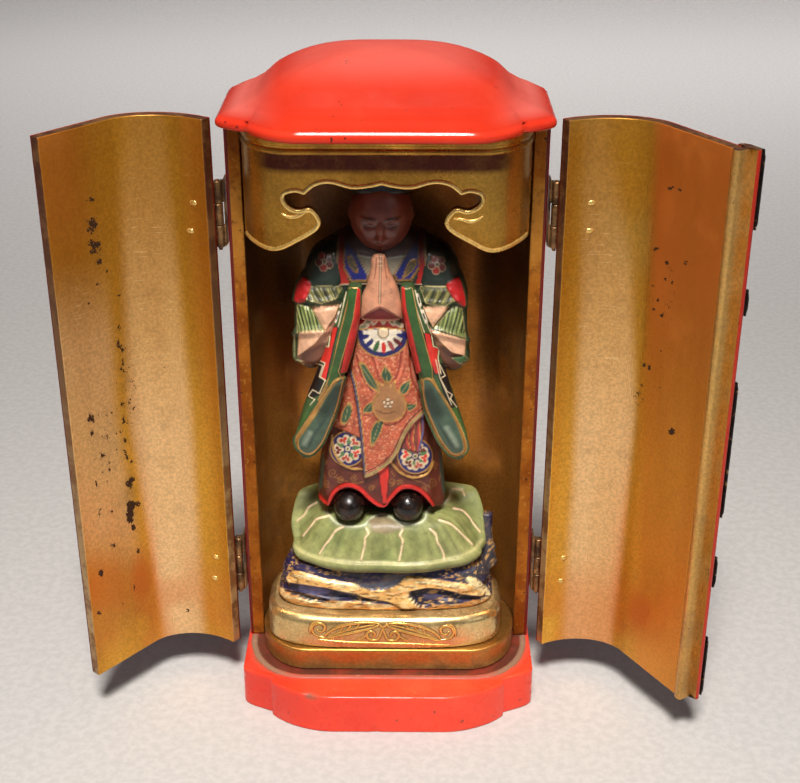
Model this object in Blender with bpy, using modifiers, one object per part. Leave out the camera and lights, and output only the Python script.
"""Small household altar cabinet: a lacquered wooden case on a cusped base,
with a domed roof, two curved doors on brass hinges, a gilt inside, and a
carved standing figure on a leaf, a rock and a gilt plinth.

Metres, +Z up, front towards -Y, origin at the middle of the underside.
The doors stand open as they rest; each hangs from an empty on its hinge axis.
"""
import math

import bmesh
import bpy
from mathutils import Matrix, Vector

MM = 0.001

# --- driving dimensions (millimetres) ---------------------------------------
GAP = 0.3                 # air between pieces that touch

BASE_HALF_W = 41.0
BASE_HALF_D = 28.4
BASE_H = 11.9
BASE_EDGE = 0.7

ROOF_HALF_W = 40.3
ROOF_Z0 = 167.8           # underside
ROOF_RIM = 2.1
ROOF_RISE = 14.5          # from the rim's top to the crown

HINGE_LINE_Y = 0.8        # front edge of the fixed side walls
WALL_OUT = 40.4
WALL_IN = 36.4
BACK_OUT = 20.2
BACK_IN = 17.2
CORNER_X = 22.5           # where the case's round corners run into the flats

DOOR_Z0 = 12.6
DOOR_Z1 = 166.9
DOOR_T = 3.0
DOOR_HINGE_X = 37.7       # inner face at the hinge edge
DOOR_CORNER_X = 23.5
DOOR_FRONT_IN = -17.2
DOOR_TAIL_Y = 0.4
LEFT_EDGE_X = 2.6         # free edge, from the middle, when closed
RIGHT_EDGE_X = 0.4
PIN_X = 42.4
PIN_Y = -0.3
LEFT_OPEN = 129.5         # degrees from closed, as it rests
RIGHT_OPEN = 122.0

INSERT_X = -1.0           # the carved insert stands this much off the middle
VAL_Z1 = 166.9
VAL_T = 2.4
TIER_FRONT = -15.9
TIER_SIDE = 36.0
TIER_Z1 = 18.7
PLINTH_HALF_W = 33.2
PLINTH_HALF_D = 15.7
PLINTH_Z1 = 28.5
ROCK_TOP = 41.2
LEAF_HALF_W = 27.4
LEAF_HALF_D = 13.8
LEAF_TOP = 55.4

HINGE_LEN = 17.4
HINGE_UP_Z = 132.9
HINGE_LOW_Z = 28.6
KNUCKLE_R = 1.15
BORE_R = 0.60
PIN_R = 0.50


# --- scene ------------------------------------------------------------------
for ob in list(bpy.data.objects):
    bpy.data.objects.remove(ob, do_unlink=True)

parts = bpy.data.collections.new("altar_cabinet")
guides = bpy.data.collections.new("altar_cabinet_cutters")
bpy.context.scene.collection.children.link(parts)
bpy.context.scene.collection.children.link(guides)


def material(name, rgb, rough, metal=0.0):
    m = bpy.data.materials.new(name)
    m.use_nodes = True
    b = m.node_tree.nodes["Principled BSDF"]
    b.inputs["Base Color"].default_value = (*rgb, 1.0)
    b.inputs["Roughness"].default_value = rough
    b.inputs["Metallic"].default_value = metal
    m.diffuse_color = (*rgb, 1.0)
    return m


# --- small helpers ----------------------------------------------------------
def link(ob, mat=None, parent=None, where=None):
    (where or parts).objects.link(ob)
    if mat:
        ob.data.materials.clear()
        ob.data.materials.append(mat)
    if parent is not None:
        ob.parent = parent
    return ob


def finish_mesh(me, angle=40.0):
    bm = bmesh.new()
    bm.from_mesh(me)
    bmesh.ops.remove_doubles(bm, verts=bm.verts, dist=1e-6)
    bmesh.ops.recalc_face_normals(bm, faces=bm.faces)
    bm.to_mesh(me)
    bm.free()
    me.shade_smooth()
    me.set_sharp_from_angle(angle=math.radians(angle))


def slab(name, outline, lo, hi, mat=None, parent=None, where=None, axis="Z"):
    """A flat outline (mm) thickened from lo to hi along an axis."""
    cu = bpy.data.curves.new(name, "CURVE")
    cu.dimensions = "2D"
    cu.fill_mode = "BOTH"
    cu.extrude = 0.5 * (hi - lo) * MM
    sp = cu.splines.new("POLY")
    sp.points.add(len(outline) - 1)
    for p, (x, y) in zip(sp.points, outline):
        p.co = (x * MM, y * MM, 0.0, 1.0)
    sp.use_cyclic_u = True
    tmp = bpy.data.objects.new(name + "_outline", cu)
    bpy.context.scene.collection.objects.link(tmp)
    mid = 0.5 * (hi + lo) * MM
    if axis == "Z":
        tmp.location = (0.0, 0.0, mid)
    else:                                  # outline in x, z; thickness along y
        tmp.rotation_euler = (math.radians(90.0), 0.0, 0.0)
        tmp.location = (0.0, mid, 0.0)
    bpy.context.view_layer.update()
    dg = bpy.context.evaluated_depsgraph_get()
    me = bpy.data.meshes.new_from_object(tmp.evaluated_get(dg))
    me.transform(tmp.matrix_world)
    bpy.data.objects.remove(tmp, do_unlink=True)
    bpy.data.curves.remove(cu)
    me.name = name
    finish_mesh(me)
    return link(bpy.data.objects.new(name, me), mat, parent, where)


def loft(name, rings, mat=None, parent=None, where=None, angle=40.0):
    """Closed skin over a stack of unlike rings (mm), capped at both ends."""
    bm = bmesh.new()
    rows = [[bm.verts.new(Vector(p) * MM) for p in ring] for ring in rings]
    n = len(rows[0])
    for a, b in zip(rows[:-1], rows[1:]):
        for i in range(n):
            j = (i + 1) % n
            bm.faces.new((a[i], a[j], b[j], b[i]))
    bm.faces.new(rows[0][::-1])
    bm.faces.new(rows[-1])
    me = bpy.data.meshes.new(name)
    bm.to_mesh(me)
    bm.free()
    finish_mesh(me, angle)
    return link(bpy.data.objects.new(name, me), mat, parent, where)


def from_bmesh(name, bm, mat=None, parent=None, where=None):
    me = bpy.data.meshes.new(name)
    bm.to_mesh(me)
    bm.free()
    finish_mesh(me)
    return link(bpy.data.objects.new(name, me), mat, parent, where)


def cylinder(name, r, z0, z1, x, y, sides=12, **kw):
    bm = bmesh.new()
    bmesh.ops.create_cone(bm, cap_ends=True, cap_tris=False, segments=sides,
                          radius1=r * MM, radius2=r * MM, depth=(z1 - z0) * MM)
    bmesh.ops.translate(bm, verts=bm.verts, vec=(x * MM, y * MM, 0.5 * (z0 + z1) * MM))
    return from_bmesh(name, bm, **kw)


def box(name, lo, hi, **kw):
    bm = bmesh.new()
    bmesh.ops.create_cube(bm, size=1.0)
    bmesh.ops.scale(bm, verts=bm.verts, vec=[(b - a) * MM for a, b in zip(lo, hi)])
    bmesh.ops.translate(bm, verts=bm.verts, vec=[(a + b) * 0.5 * MM for a, b in zip(lo, hi)])
    return from_bmesh(name, bm, **kw)


def ball(name, centre, radii, segs=14, rows=9, tilt=0.0, **kw):
    bm = bmesh.new()
    bmesh.ops.create_uvsphere(bm, u_segments=segs, v_segments=rows, radius=1.0)
    bmesh.ops.scale(bm, verts=bm.verts, vec=[r * MM for r in radii])
    bmesh.ops.rotate(bm, verts=bm.verts, cent=(0, 0, 0),
                     matrix=Matrix.Rotation(math.radians(tilt), 3, "X"))
    bmesh.ops.translate(bm, verts=bm.verts, vec=[c * MM for c in centre])
    return from_bmesh(name, bm, **kw)


def helper(ob):
    ob.hide_render = True
    ob.display_type = "WIRE"
    return ob


def boolean(ob, other, how):
    m = ob.modifiers.new(how.lower(), "BOOLEAN")
    m.operation = how
    m.solver = "EXACT"
    m.object = other
    return m


def round_edges(ob, width, segments=2, limit=50.0):
    m = ob.modifiers.new("rounded_edges", "BEVEL")
    m.width = width * MM
    m.segments = segments
    m.limit_method = "ANGLE"
    m.angle_limit = math.radians(limit)
    return m


# --- plan outlines ----------------------------------------------------------
def bezier(p0, p1, p2, p3, n):
    """n points along a cubic, without its first point."""
    out = []
    for i in range(1, n + 1):
        t = i / n
        a, b, c, d = (1 - t) ** 3, 3 * t * (1 - t) ** 2, 3 * t * t * (1 - t), t ** 3
        out.append((a * p0[0] + b * p1[0] + c * p2[0] + d * p3[0],
                    a * p0[1] + b * p1[1] + c * p2[1] + d * p3[1]))
    return out


def cusped(half_w, half_d, side_y, notch, arrive, leave, flat_x, n1=4, n2=6):
    """Rectangle whose corners are two rounds that meet in a notch.

    The quarter at +X, -Y is drawn from the side to the front and mirrored.
    arrive and leave are the tangent handles on either side of the notch.
    """
    a = (half_w, -side_y)
    k = 0.55 * (notch[1] - side_y)
    q = [a] + bezier(a, (half_w, -side_y - k),
                     (notch[0] - arrive[0], -(notch[1] - arrive[1])), (notch[0], -notch[1]), n1)
    f = (flat_x, -half_d)
    q += bezier((notch[0], -notch[1]), (notch[0] + leave[0], -(notch[1] + leave[1])),
                (flat_x + 0.5 * (notch[0] - flat_x), -half_d), f, n2)
    front = q + [(-x, y) for x, y in reversed(q)]
    back = [(-x, -y) for x, y in front]
    return front + back


def quarter(cx, rx, cy, ry, n, power=2.0):
    """Points of a quarter oval from (cx + rx, cy) round to (cx, cy - ry)."""
    e = 2.0 / power
    return [(cx + rx * math.cos(0.5 * math.pi * i / n) ** e,
             cy - ry * math.sin(0.5 * math.pi * i / n) ** e) for i in range(n + 1)]


def offset(path, d):
    """The open path moved d to its left, with mitred corners."""
    out = []
    for i, p in enumerate(path):
        a = Vector(path[max(i - 1, 0)])
        b = Vector(path[min(i + 1, len(path) - 1)])
        t = (b - a).normalized()
        nrm = Vector((-t.y, t.x))
        out.append((p[0] + nrm.x * d, p[1] + nrm.y * d))
    return out


def mirror_x(path):
    return [(-x, y) for x, y in reversed(path)]


# --- materials --------------------------------------------------------------
RED = material("vermilion_lacquer", (0.86, 0.07, 0.025), 0.25)
GOLD = material("aged_gilding", (0.60, 0.42, 0.15), 0.42, 0.6)
BRASS = material("hinge_brass", (0.42, 0.26, 0.12), 0.45, 0.9)
IRON = material("dark_fitting", (0.045, 0.035, 0.03), 0.5, 0.7)
ROCK = material("painted_rock", (0.10, 0.11, 0.27), 0.6)
LEAF = material("painted_leaf", (0.33, 0.44, 0.22), 0.6)
CARVING = material("painted_carving", (0.42, 0.16, 0.11), 0.6)


# --- base -------------------------------------------------------------------
base_plan = cusped(BASE_HALF_W, BASE_HALF_D, 14.0, (32.5, 21.1), (3.1, 1.6), (-1.7, 2.3), 15.0)
base = slab("base", base_plan, 0.0, BASE_H, RED)
round_edges(base, BASE_EDGE)

# --- roof: a loft from the cusped rim to a rounded crown ---------------------
ROOF_HALF_D = BASE_HALF_D
roof_plan = cusped(ROOF_HALF_W, ROOF_HALF_D, 13.2, (32.8, 18.8),
                   (2.4, -1.4), (-0.9, 3.0), 20.0, n1=5, n2=6)


def ease(t):
    t = min(1.0, max(0.0, t))
    return t * t * (3 - 2 * t)


def roof_height(s):
    """Height over the rim's top at plan scale s: a flare, then a dome."""
    dome = max(0.0, 1.0 - min(1.0, s / 0.855) ** 2.26) ** 0.68
    flare = 0.287 * min(1.0, (1.0 - s) / 0.2)
    w = ease((0.885 - s) / 0.2)
    return ROOF_RISE * (flare * (1 - w) + dome * w)


def crown_plan(s):
    """The plan at scale s: the notches fade into a rounded oblong."""
    fade = ease((1.0 - s) / 0.283)
    out = []
    for x, y in roof_plan:
        ang = math.atan2(y / ROOF_HALF_D, x / ROOF_HALF_W)
        c, sn = math.cos(ang), math.sin(ang)
        r = (abs(c) ** 4.6 + abs(sn) ** 4.6) ** (-1 / 4.6)
        ox, oy = ROOF_HALF_W * r * c, ROOF_HALF_D * r * sn
        out.append((s * (x * (1 - fade) + ox * fade), s * (y * (1 - fade) + oy * fade)))
    return out


roof_rings = [[(x * 0.992, y * 0.99, ROOF_Z0) for x, y in roof_plan],
              [(x, y, ROOF_Z0 + 0.5) for x, y in roof_plan],
              [(x, y, ROOF_Z0 + ROOF_RIM - 0.5) for x, y in roof_plan],
              [(x * 0.988, y * 0.984, ROOF_Z0 + ROOF_RIM) for x, y in roof_plan]]
for s in (0.94, 0.88, 0.82, 0.77, 0.71, 0.63, 0.52, 0.38, 0.22, 0.07):
    z = ROOF_Z0 + ROOF_RIM + roof_height(s)
    roof_rings.append([(x, y, z) for x, y in crown_plan(s)])
roof = loft("roof", roof_rings, RED)

# --- fixed back and side walls, one bent shell -------------------------------
wall_out = quarter(CORNER_X, WALL_OUT - CORNER_X, 0.0, BACK_OUT - HINGE_LINE_Y, 9)
wall_in = quarter(CORNER_X, WALL_IN - CORNER_X, 0.0, BACK_IN - HINGE_LINE_Y, 9)
right_out = [(x, HINGE_LINE_Y - y) for x, y in wall_out]
right_in = [(x, HINGE_LINE_Y - y) for x, y in wall_in]
shell_plan = right_out + mirror_x(right_out) + [(-x, y) for x, y in right_in] + right_in[::-1]
shell = slab("case_shell", shell_plan, BASE_H + GAP, ROOF_Z0 - GAP, GOLD)

# --- inner floor tier and the figure's plinth --------------------------------
tier_q = quarter(CORNER_X, TIER_SIDE - CORNER_X, 0.0, -TIER_FRONT, 8)
tier_front = tier_q + mirror_x(tier_q)
tier_plan = tier_front + [(-x, -y * (BACK_IN - 0.5) / -TIER_FRONT) for x, y in tier_front[1:-1]]
tier = slab("inner_floor", tier_plan, BASE_H + GAP, TIER_Z1, GOLD)
round_edges(tier, 0.5)


def oblong(half_w, half_d, cx, cy, n, power):
    q = quarter(0.0, half_w, 0.0, half_d, n, power)
    f = q + mirror_x(q)[1:]
    b = [(-x, -y) for x, y in f[1:-1]]
    return [(cx + x, cy + y) for x, y in f + b]


plinth = slab("plinth", oblong(PLINTH_HALF_W, PLINTH_HALF_D, INSERT_X, 0.4, 9, 3.6),
              TIER_Z1 + GAP, PLINTH_Z1, GOLD)
round_edges(plinth, 0.8)

# --- carved valance under the roof -------------------------------------------
val_q = quarter(CORNER_X, TIER_SIDE - 0.1 - CORNER_X, 0.4, 16.1, 9)
val_path = val_q + mirror_x(val_q)
VAL_LOW = 136.6


def spline(ctrl, n):
    """Smooth run through control points, ends included (mm)."""
    out = []
    for i in range(len(ctrl) - 1):
        p0 = Vector(ctrl[max(i - 1, 0)])
        p1, p2 = Vector(ctrl[i]), Vector(ctrl[i + 1])
        p3 = Vector(ctrl[min(i + 2, len(ctrl) - 1)])
        for k in range(n):
            t = k / n
            v = 0.5 * ((2 * p1) + (p2 - p0) * t + (2 * p0 - 5 * p1 + 4 * p2 - p3) * t * t
                       + (3 * p1 - p0 - 3 * p2 + p3) * t ** 3)
            out.append((v.x, v.y))
    out.append(tuple(ctrl[-1]))
    return out


# one side of the cloud-shaped edge: the hanging lobe and its hook, then the brow
lobe = spline([(38.6, 138.2), (33.9, 138.1), (26.5, 137.2), (20.8, 139.8), (16.0, 142.8),
               (15.0, 145.4), (17.2, 148.2), (20.4, 147.8), (23.0, 149.3), (23.4, 151.6),
               (20.8, 152.5), (18.6, 151.9)], 3)
brow = spline([(18.6, 151.9), (16.0, 154.0), (12.4, 154.7), (7.2, 153.4), (3.0, 153.7),
               (0.0, 154.4)], 3)
half_edge = lobe + brow[1:]
edge = [(INSERT_X + x, z) for x, z in half_edge] + [(INSERT_X - x, z) for x, z in half_edge[-2::-1]]
edge += [(-46.0, 138.2), (-46.0, 130.0), (46.0, 130.0), (46.0, 138.2)]
valance = slab("valance", val_path + offset(val_path, -VAL_T)[::-1], VAL_LOW, VAL_Z1, GOLD)
cornice = helper(slab("valance_cornice", offset(val_path, 0.4) + offset(val_path, -0.5)[::-1],
                      162.0, VAL_Z1, where=guides))
cut = helper(slab("valance_opening", edge, -30.0, 8.0, where=guides, axis="Y"))
boolean(valance, cornice, "UNION")
boolean(valance, cut, "DIFFERENCE")


# --- rock --------------------------------------------------------------------
def rock_ring(scale, z, n=26, jag=0.0, turn=0.0):
    out = []
    for i in range(n):
        a = 2 * math.pi * i / n
        c, s = math.cos(a), math.sin(a)
        r = (abs(c) ** 3.4 + abs(s) ** 3.4) ** (-1 / 3.4)
        w = 1.0 + jag * (math.sin(5 * a + turn) + 0.6 * math.sin(11 * a + 2.3 * turn)) * 0.5
        out.append((INSERT_X + 0.3 + 30.9 * scale * r * c * w, 0.6 + 11.6 * scale * r * s * w, z))
    return out


rock = loft("rock", [rock_ring(1.0, PLINTH_Z1 + GAP, jag=0.02), rock_ring(0.985, 31.0, jag=0.05, turn=1.0),
                     rock_ring(0.93, 34.4, jag=0.06, turn=2.2), rock_ring(0.95, 36.2, jag=0.05, turn=3.6),
                     rock_ring(0.90, 39.6, jag=0.05, turn=4.4), rock_ring(0.84, ROCK_TOP, jag=0.03, turn=5.0)],
            ROCK, angle=25.0)
peak = helper(loft("rock_peak", [[(26.0, 2.0, 38.0), (29.0, 2.6, 38.0), (29.8, 7.0, 38.0), (27.0, 11.0, 38.0)],
                                 [(27.9, 3.6, 46.0), (29.0, 4.2, 46.0), (29.2, 7.6, 46.0), (28.0, 9.6, 46.0)],
                                 [(28.3, 4.8, 50.6), (28.8, 5.0, 50.8), (28.9, 6.6, 50.6), (28.5, 7.0, 50.4)]],
                   where=guides))
boolean(rock, peak, "UNION")


# --- leaf --------------------------------------------------------------------
def leaf_rim(a):
    """Height of the leaf's lip round the plan: low in front, high behind."""
    s = math.sin(a)
    return 45.4 + 11.2 * ease((s + 0.05) / 0.62) - 0.6 * max(0.0, -s)


def leaf_ring(scale, rise, n=36, drop=0.0, flat=None):
    out = []
    for i in range(n):
        a = 2 * math.pi * i / n
        c, s = math.cos(a), math.sin(a)
        e = 2.5 if s < 0 else 3.3
        r = (abs(c) ** e + abs(s) ** e) ** (-1 / e)
        wave = 1.0 + 0.012 * math.sin(9 * a + 0.8) * scale
        zr = leaf_rim(a)
        z = flat if flat is not None else zr + rise * (LEAF_TOP - zr) - drop
        out.append((LEAF_HALF_W * scale * r * c * wave, 0.9 + LEAF_HALF_D * scale * r * s * wave, z))
    return out


leaf = loft("leaf", [leaf_ring(0.80, 0, flat=ROCK_TOP + GAP), leaf_ring(0.955, 0, drop=3.0),
                     leaf_ring(1.0, 0, drop=1.7), leaf_ring(0.99, 0, drop=0.4), leaf_ring(0.95, 0.12),
                     leaf_ring(0.84, 0.48), leaf_ring(0.72, 0.83), leaf_ring(0.60, 0.96),
                     leaf_ring(0.35, 1.0)], LEAF)


# --- carved figure -----------------------------------------------------------
FX = INSERT_X - 0.5       # middle of the figure
FY = 0.8


def oval(z, a, b, cx=0.0, cy=0.0, n=24, power=2.3):
    out = []
    for i in range(n):
        t = 2 * math.pi * i / n
        c, s = math.cos(t), math.sin(t)
        r = (abs(c) ** power + abs(s) ** power) ** (-1 / power)
        out.append((FX + cx + a * r * c, FY + cy + b * r * s, z))
    return out


FIG_Z0 = LEAF_TOP + GAP
figure = loft("figure", [
    oval(FIG_Z0, 15.6, 7.2, cy=0.8), oval(60.5, 17.2, 8.2, cy=0.6), oval(68.0, 16.6, 8.6), oval(80.0, 15.0, 8.6),
    oval(92.0, 14.0, 8.8), oval(104.0, 13.6, 8.6), oval(112.0, 13.2, 8.6), oval(118.0, 16.0, 8.6, cy=0.2),
    oval(125.0, 20.4, 8.4, cy=0.6), oval(131.0, 20.0, 8.0, cy=0.8), oval(135.0, 15.0, 7.2, cy=0.8),
    oval(138.0, 8.6, 6.2, cy=0.6), oval(141.0, 5.4, 5.4)], CARVING)
for side in (-1, 1):
    tag = "left" if side < 0 else "right"
    arm = helper(loft("arm_" + tag, [
        oval(130.5, 4.0, 5.0, side * 15.0, 0.4, 14), oval(124.0, 5.4, 7.0, side * 16.0, -0.2, 14),
        oval(116.0, 5.9, 8.2, side * 16.6, -1.0, 14), oval(109.0, 6.3, 8.4, side * 16.8, -1.4, 14),
        oval(104.0, 6.5, 7.4, side * 17.0, -1.8, 14), oval(99.8, 5.0, 5.8, side * 16.8, -2.0, 14)],
        where=guides))
    boolean(figure, arm, "UNION")
    drape = helper(loft("drape_" + tag, [
        oval(127.5, 1.9, 2.0, side * 4.4, -8.6, 14), oval(120.0, 3.6, 3.4, side * 7.0, -8.2, 14),
        oval(108.0, 4.4, 4.4, side * 10.2, -7.4, 14), oval(96.0, 4.6, 4.6, side * 13.6, -6.6, 14),
        oval(86.0, 4.2, 3.8, side * 16.6, -5.8, 14), oval(78.0, 2.9, 2.6, side * 19.0, -5.4, 14),
        oval(74.9, 1.6, 1.6, side * 20.0, -5.2, 14)], where=guides))
    boolean(figure, drape, "UNION")
    shoe = helper(ball("shoe_" + tag, (FX + side * 8.3, -6.4, 59.6), (4.0, 3.9, 3.85), 12, 8, where=guides))
    boolean(figure, shoe, "UNION")
hands = helper(loft("hands", [
    oval(118.6, 5.4, 3.2, cy=-9.0, n=16), oval(123.0, 4.4, 3.0, cy=-9.6, n=16),
    oval(128.0, 2.7, 2.2, cy=-10.4, n=16), oval(132.8, 0.9, 1.1, cy=-11.0, n=16)], where=guides))
boolean(figure, hands, "UNION")
head = helper(ball("head", (FX, FY - 2.2, 144.4), (7.7, 8.2, 10.0), 18, 12, tilt=8.0, where=guides))
boolean(figure, head, "UNION")
hood = helper(loft("headdress", [
    oval(148.0, 7.6, 8.0, cy=-0.6, n=18), oval(152.0, 8.3, 8.6, cy=-0.4, n=18), oval(156.0, 7.2, 7.4, n=18),
    oval(159.0, 4.2, 4.4, cy=0.4, n=18)], where=guides))
boolean(figure, hood, "UNION")


# --- doors -------------------------------------------------------------------
def door_axis(tag, side, angle):
    e = bpy.data.objects.new("axis_door_" + tag, None)
    e.empty_display_size = 0.02
    e.location = (side * PIN_X * MM, PIN_Y * MM, 0.0)
    e.rotation_euler = (0.0, 0.0, math.radians(angle))
    parts.objects.link(e)
    return e


def local(side, pts):
    """Closed-pose plan points, seen from the hinge axis of one side."""
    return [(x - side * PIN_X, y - PIN_Y) for x, y in pts]


def door_plan(side, edge_x):
    q = quarter(DOOR_CORNER_X, DOOR_HINGE_X - DOOR_CORNER_X, 0.6, 0.6 - DOOR_FRONT_IN, 10, 1.9)
    inner = [(DOOR_HINGE_X, DOOR_TAIL_Y)] + q[1:] + [(edge_x, DOOR_FRONT_IN)]
    outer = offset(inner, DOOR_T)
    outer[0] = (DOOR_HINGE_X + DOOR_T, DOOR_TAIL_Y)
    outer[-1] = (edge_x, DOOR_FRONT_IN - DOOR_T)
    return [(side * x, y) for x, y in inner + outer[::-1]]


def hang(ob, axis):
    ob.parent = axis
    return ob


axis_left = door_axis("left", -1, -LEFT_OPEN)
axis_right = door_axis("right", 1, RIGHT_OPEN)
door_left = slab("door_left", local(-1, door_plan(-1, LEFT_EDGE_X)), DOOR_Z0, DOOR_Z1, GOLD)
door_right = slab("door_right", local(1, door_plan(1, RIGHT_EDGE_X)), DOOR_Z0, DOOR_Z1, GOLD)
hang(door_left, axis_left)
hang(door_right, axis_right)

# the closing strip on the right door: a round bead between the doors' edges and
# a cover in front of the left door's edge
FACE = DOOR_FRONT_IN - DOOR_T            # the closed doors' outer face
bead = [(0.1, FACE - GAP), (0.1, -17.1)]
bead += [(-1.1 + 1.2 * math.cos(math.pi * k / 6), -17.1 + 0.7 * math.sin(math.pi * k / 6)) for k in range(1, 7)]
bead += [(-2.2, FACE - GAP - 0.1), (-4.2, FACE - GAP - 0.1)]
bead += [(-3.6 - 0.9 * math.cos(math.pi * k / 8), FACE - 0.9 - 1.3 * math.sin(math.pi * k / 8)) for k in range(1, 4)]
bead += [(-3.0, FACE - 2.2), (0.6, FACE - 2.2), (1.5, FACE - 1.8), (2.0, FACE - 1.1), (2.1, FACE - GAP)]
strip = slab("closing_strip", local(1, bead), DOOR_Z0, DOOR_Z1, RED)
hang(strip, axis_right)

# dark metal plates on the strip's face
for name, z0, z1 in (("fitting_top", 147.4, 166.7), ("fitting_upper", 125.7, 132.4), ("fitting_middle", 69.5, 107.9),
                     ("fitting_lower", 48.1, 57.4), ("fitting_bottom", 12.9, 32.1)):
    plate = slab(name, local(1, [(-4.3, FACE - 2.5), (1.4, FACE - 2.5), (1.4, FACE - 3.0), (-4.3, FACE - 3.0)]),
                 z0, z1, IRON)
    round_edges(plate, 0.15, 1)
    hang(plate, axis_right)

# --- hinges ------------------------------------------------------------------
STEP = HINGE_LEN / 3.0
for side, tag, axis in ((-1, "left", axis_left), (1, "right", axis_right)):
    for zone, z0 in (("upper", HINGE_UP_Z), ("lower", HINGE_LOW_Z)):
        base_name = "hinge_%s_%s" % (tag, zone)
        z1 = z0 + HINGE_LEN
        px, py = side * PIN_X, PIN_Y

        # leaf on the case's outer side, with the two end knuckles
        xa, xb = side * (WALL_OUT + GAP), side * (WALL_OUT + 0.85)
        fixed = box(base_name + "_fixed", (min(xa, xb), HINGE_LINE_Y + 0.1, z0), (max(xa, xb), 5.0, z1), mat=BRASS)
        for k, (a, b) in enumerate(((z0, z0 + STEP - 0.1), (z1 - STEP + 0.1, z1))):
            kn = helper(cylinder(base_name + "_knuckle_%d" % k, KNUCKLE_R, a, b, px, py, 14, where=guides))
            xa, xb = side * (WALL_OUT + 0.45), side * (PIN_X - 0.72)
            web = helper(box(base_name + "_web_%d" % k, (min(xa, xb), py + 0.2, a), (max(xa, xb), py + 1.3, b),
                             where=guides))
            boolean(fixed, web, "UNION")
            boolean(fixed, kn, "UNION")
        drill = helper(cylinder(base_name + "_bore", BORE_R, z0 - 2.0, z1 + 2.0, px, py, 14, where=guides))
        boolean(fixed, drill, "DIFFERENCE")

        # leaf on the door's outer side, with the middle knuckle, drawn closed
        xa, xb = side * (-1.1), side * (-0.75)
        moving = box(base_name + "_moving", (min(xa, xb), -6.0, z0), (max(xa, xb), -0.45, z1), mat=BRASS)
        for k, (a, b) in enumerate(((z0 - 1.0, z0 + STEP + 0.1), (z1 - STEP - 0.1, z1 + 1.0))):
            relief = helper(box(base_name + "_relief_%d" % k, (-2.0, -1.35, a), (2.0, 2.0, b), where=guides))
            relief.parent = axis
            boolean(moving, relief, "DIFFERENCE")
        mid = helper(cylinder(base_name + "_middle", KNUCKLE_R, z0 + STEP + 0.1, z1 - STEP - 0.1, 0, 0, 14,
                              where=guides))
        mid.parent = axis
        boolean(moving, mid, "UNION")
        hole = helper(cylinder(base_name + "_hole", BORE_R, z0 - 2.0, z1 + 2.0, 0, 0, 14, where=guides))
        hole.parent = axis
        boolean(moving, hole, "DIFFERENCE")
        hang(moving, axis)

        cylinder(base_name + "_pin", PIN_R, z0 - 0.9, z1 + 0.4, px, py, 12, mat=BRASS)
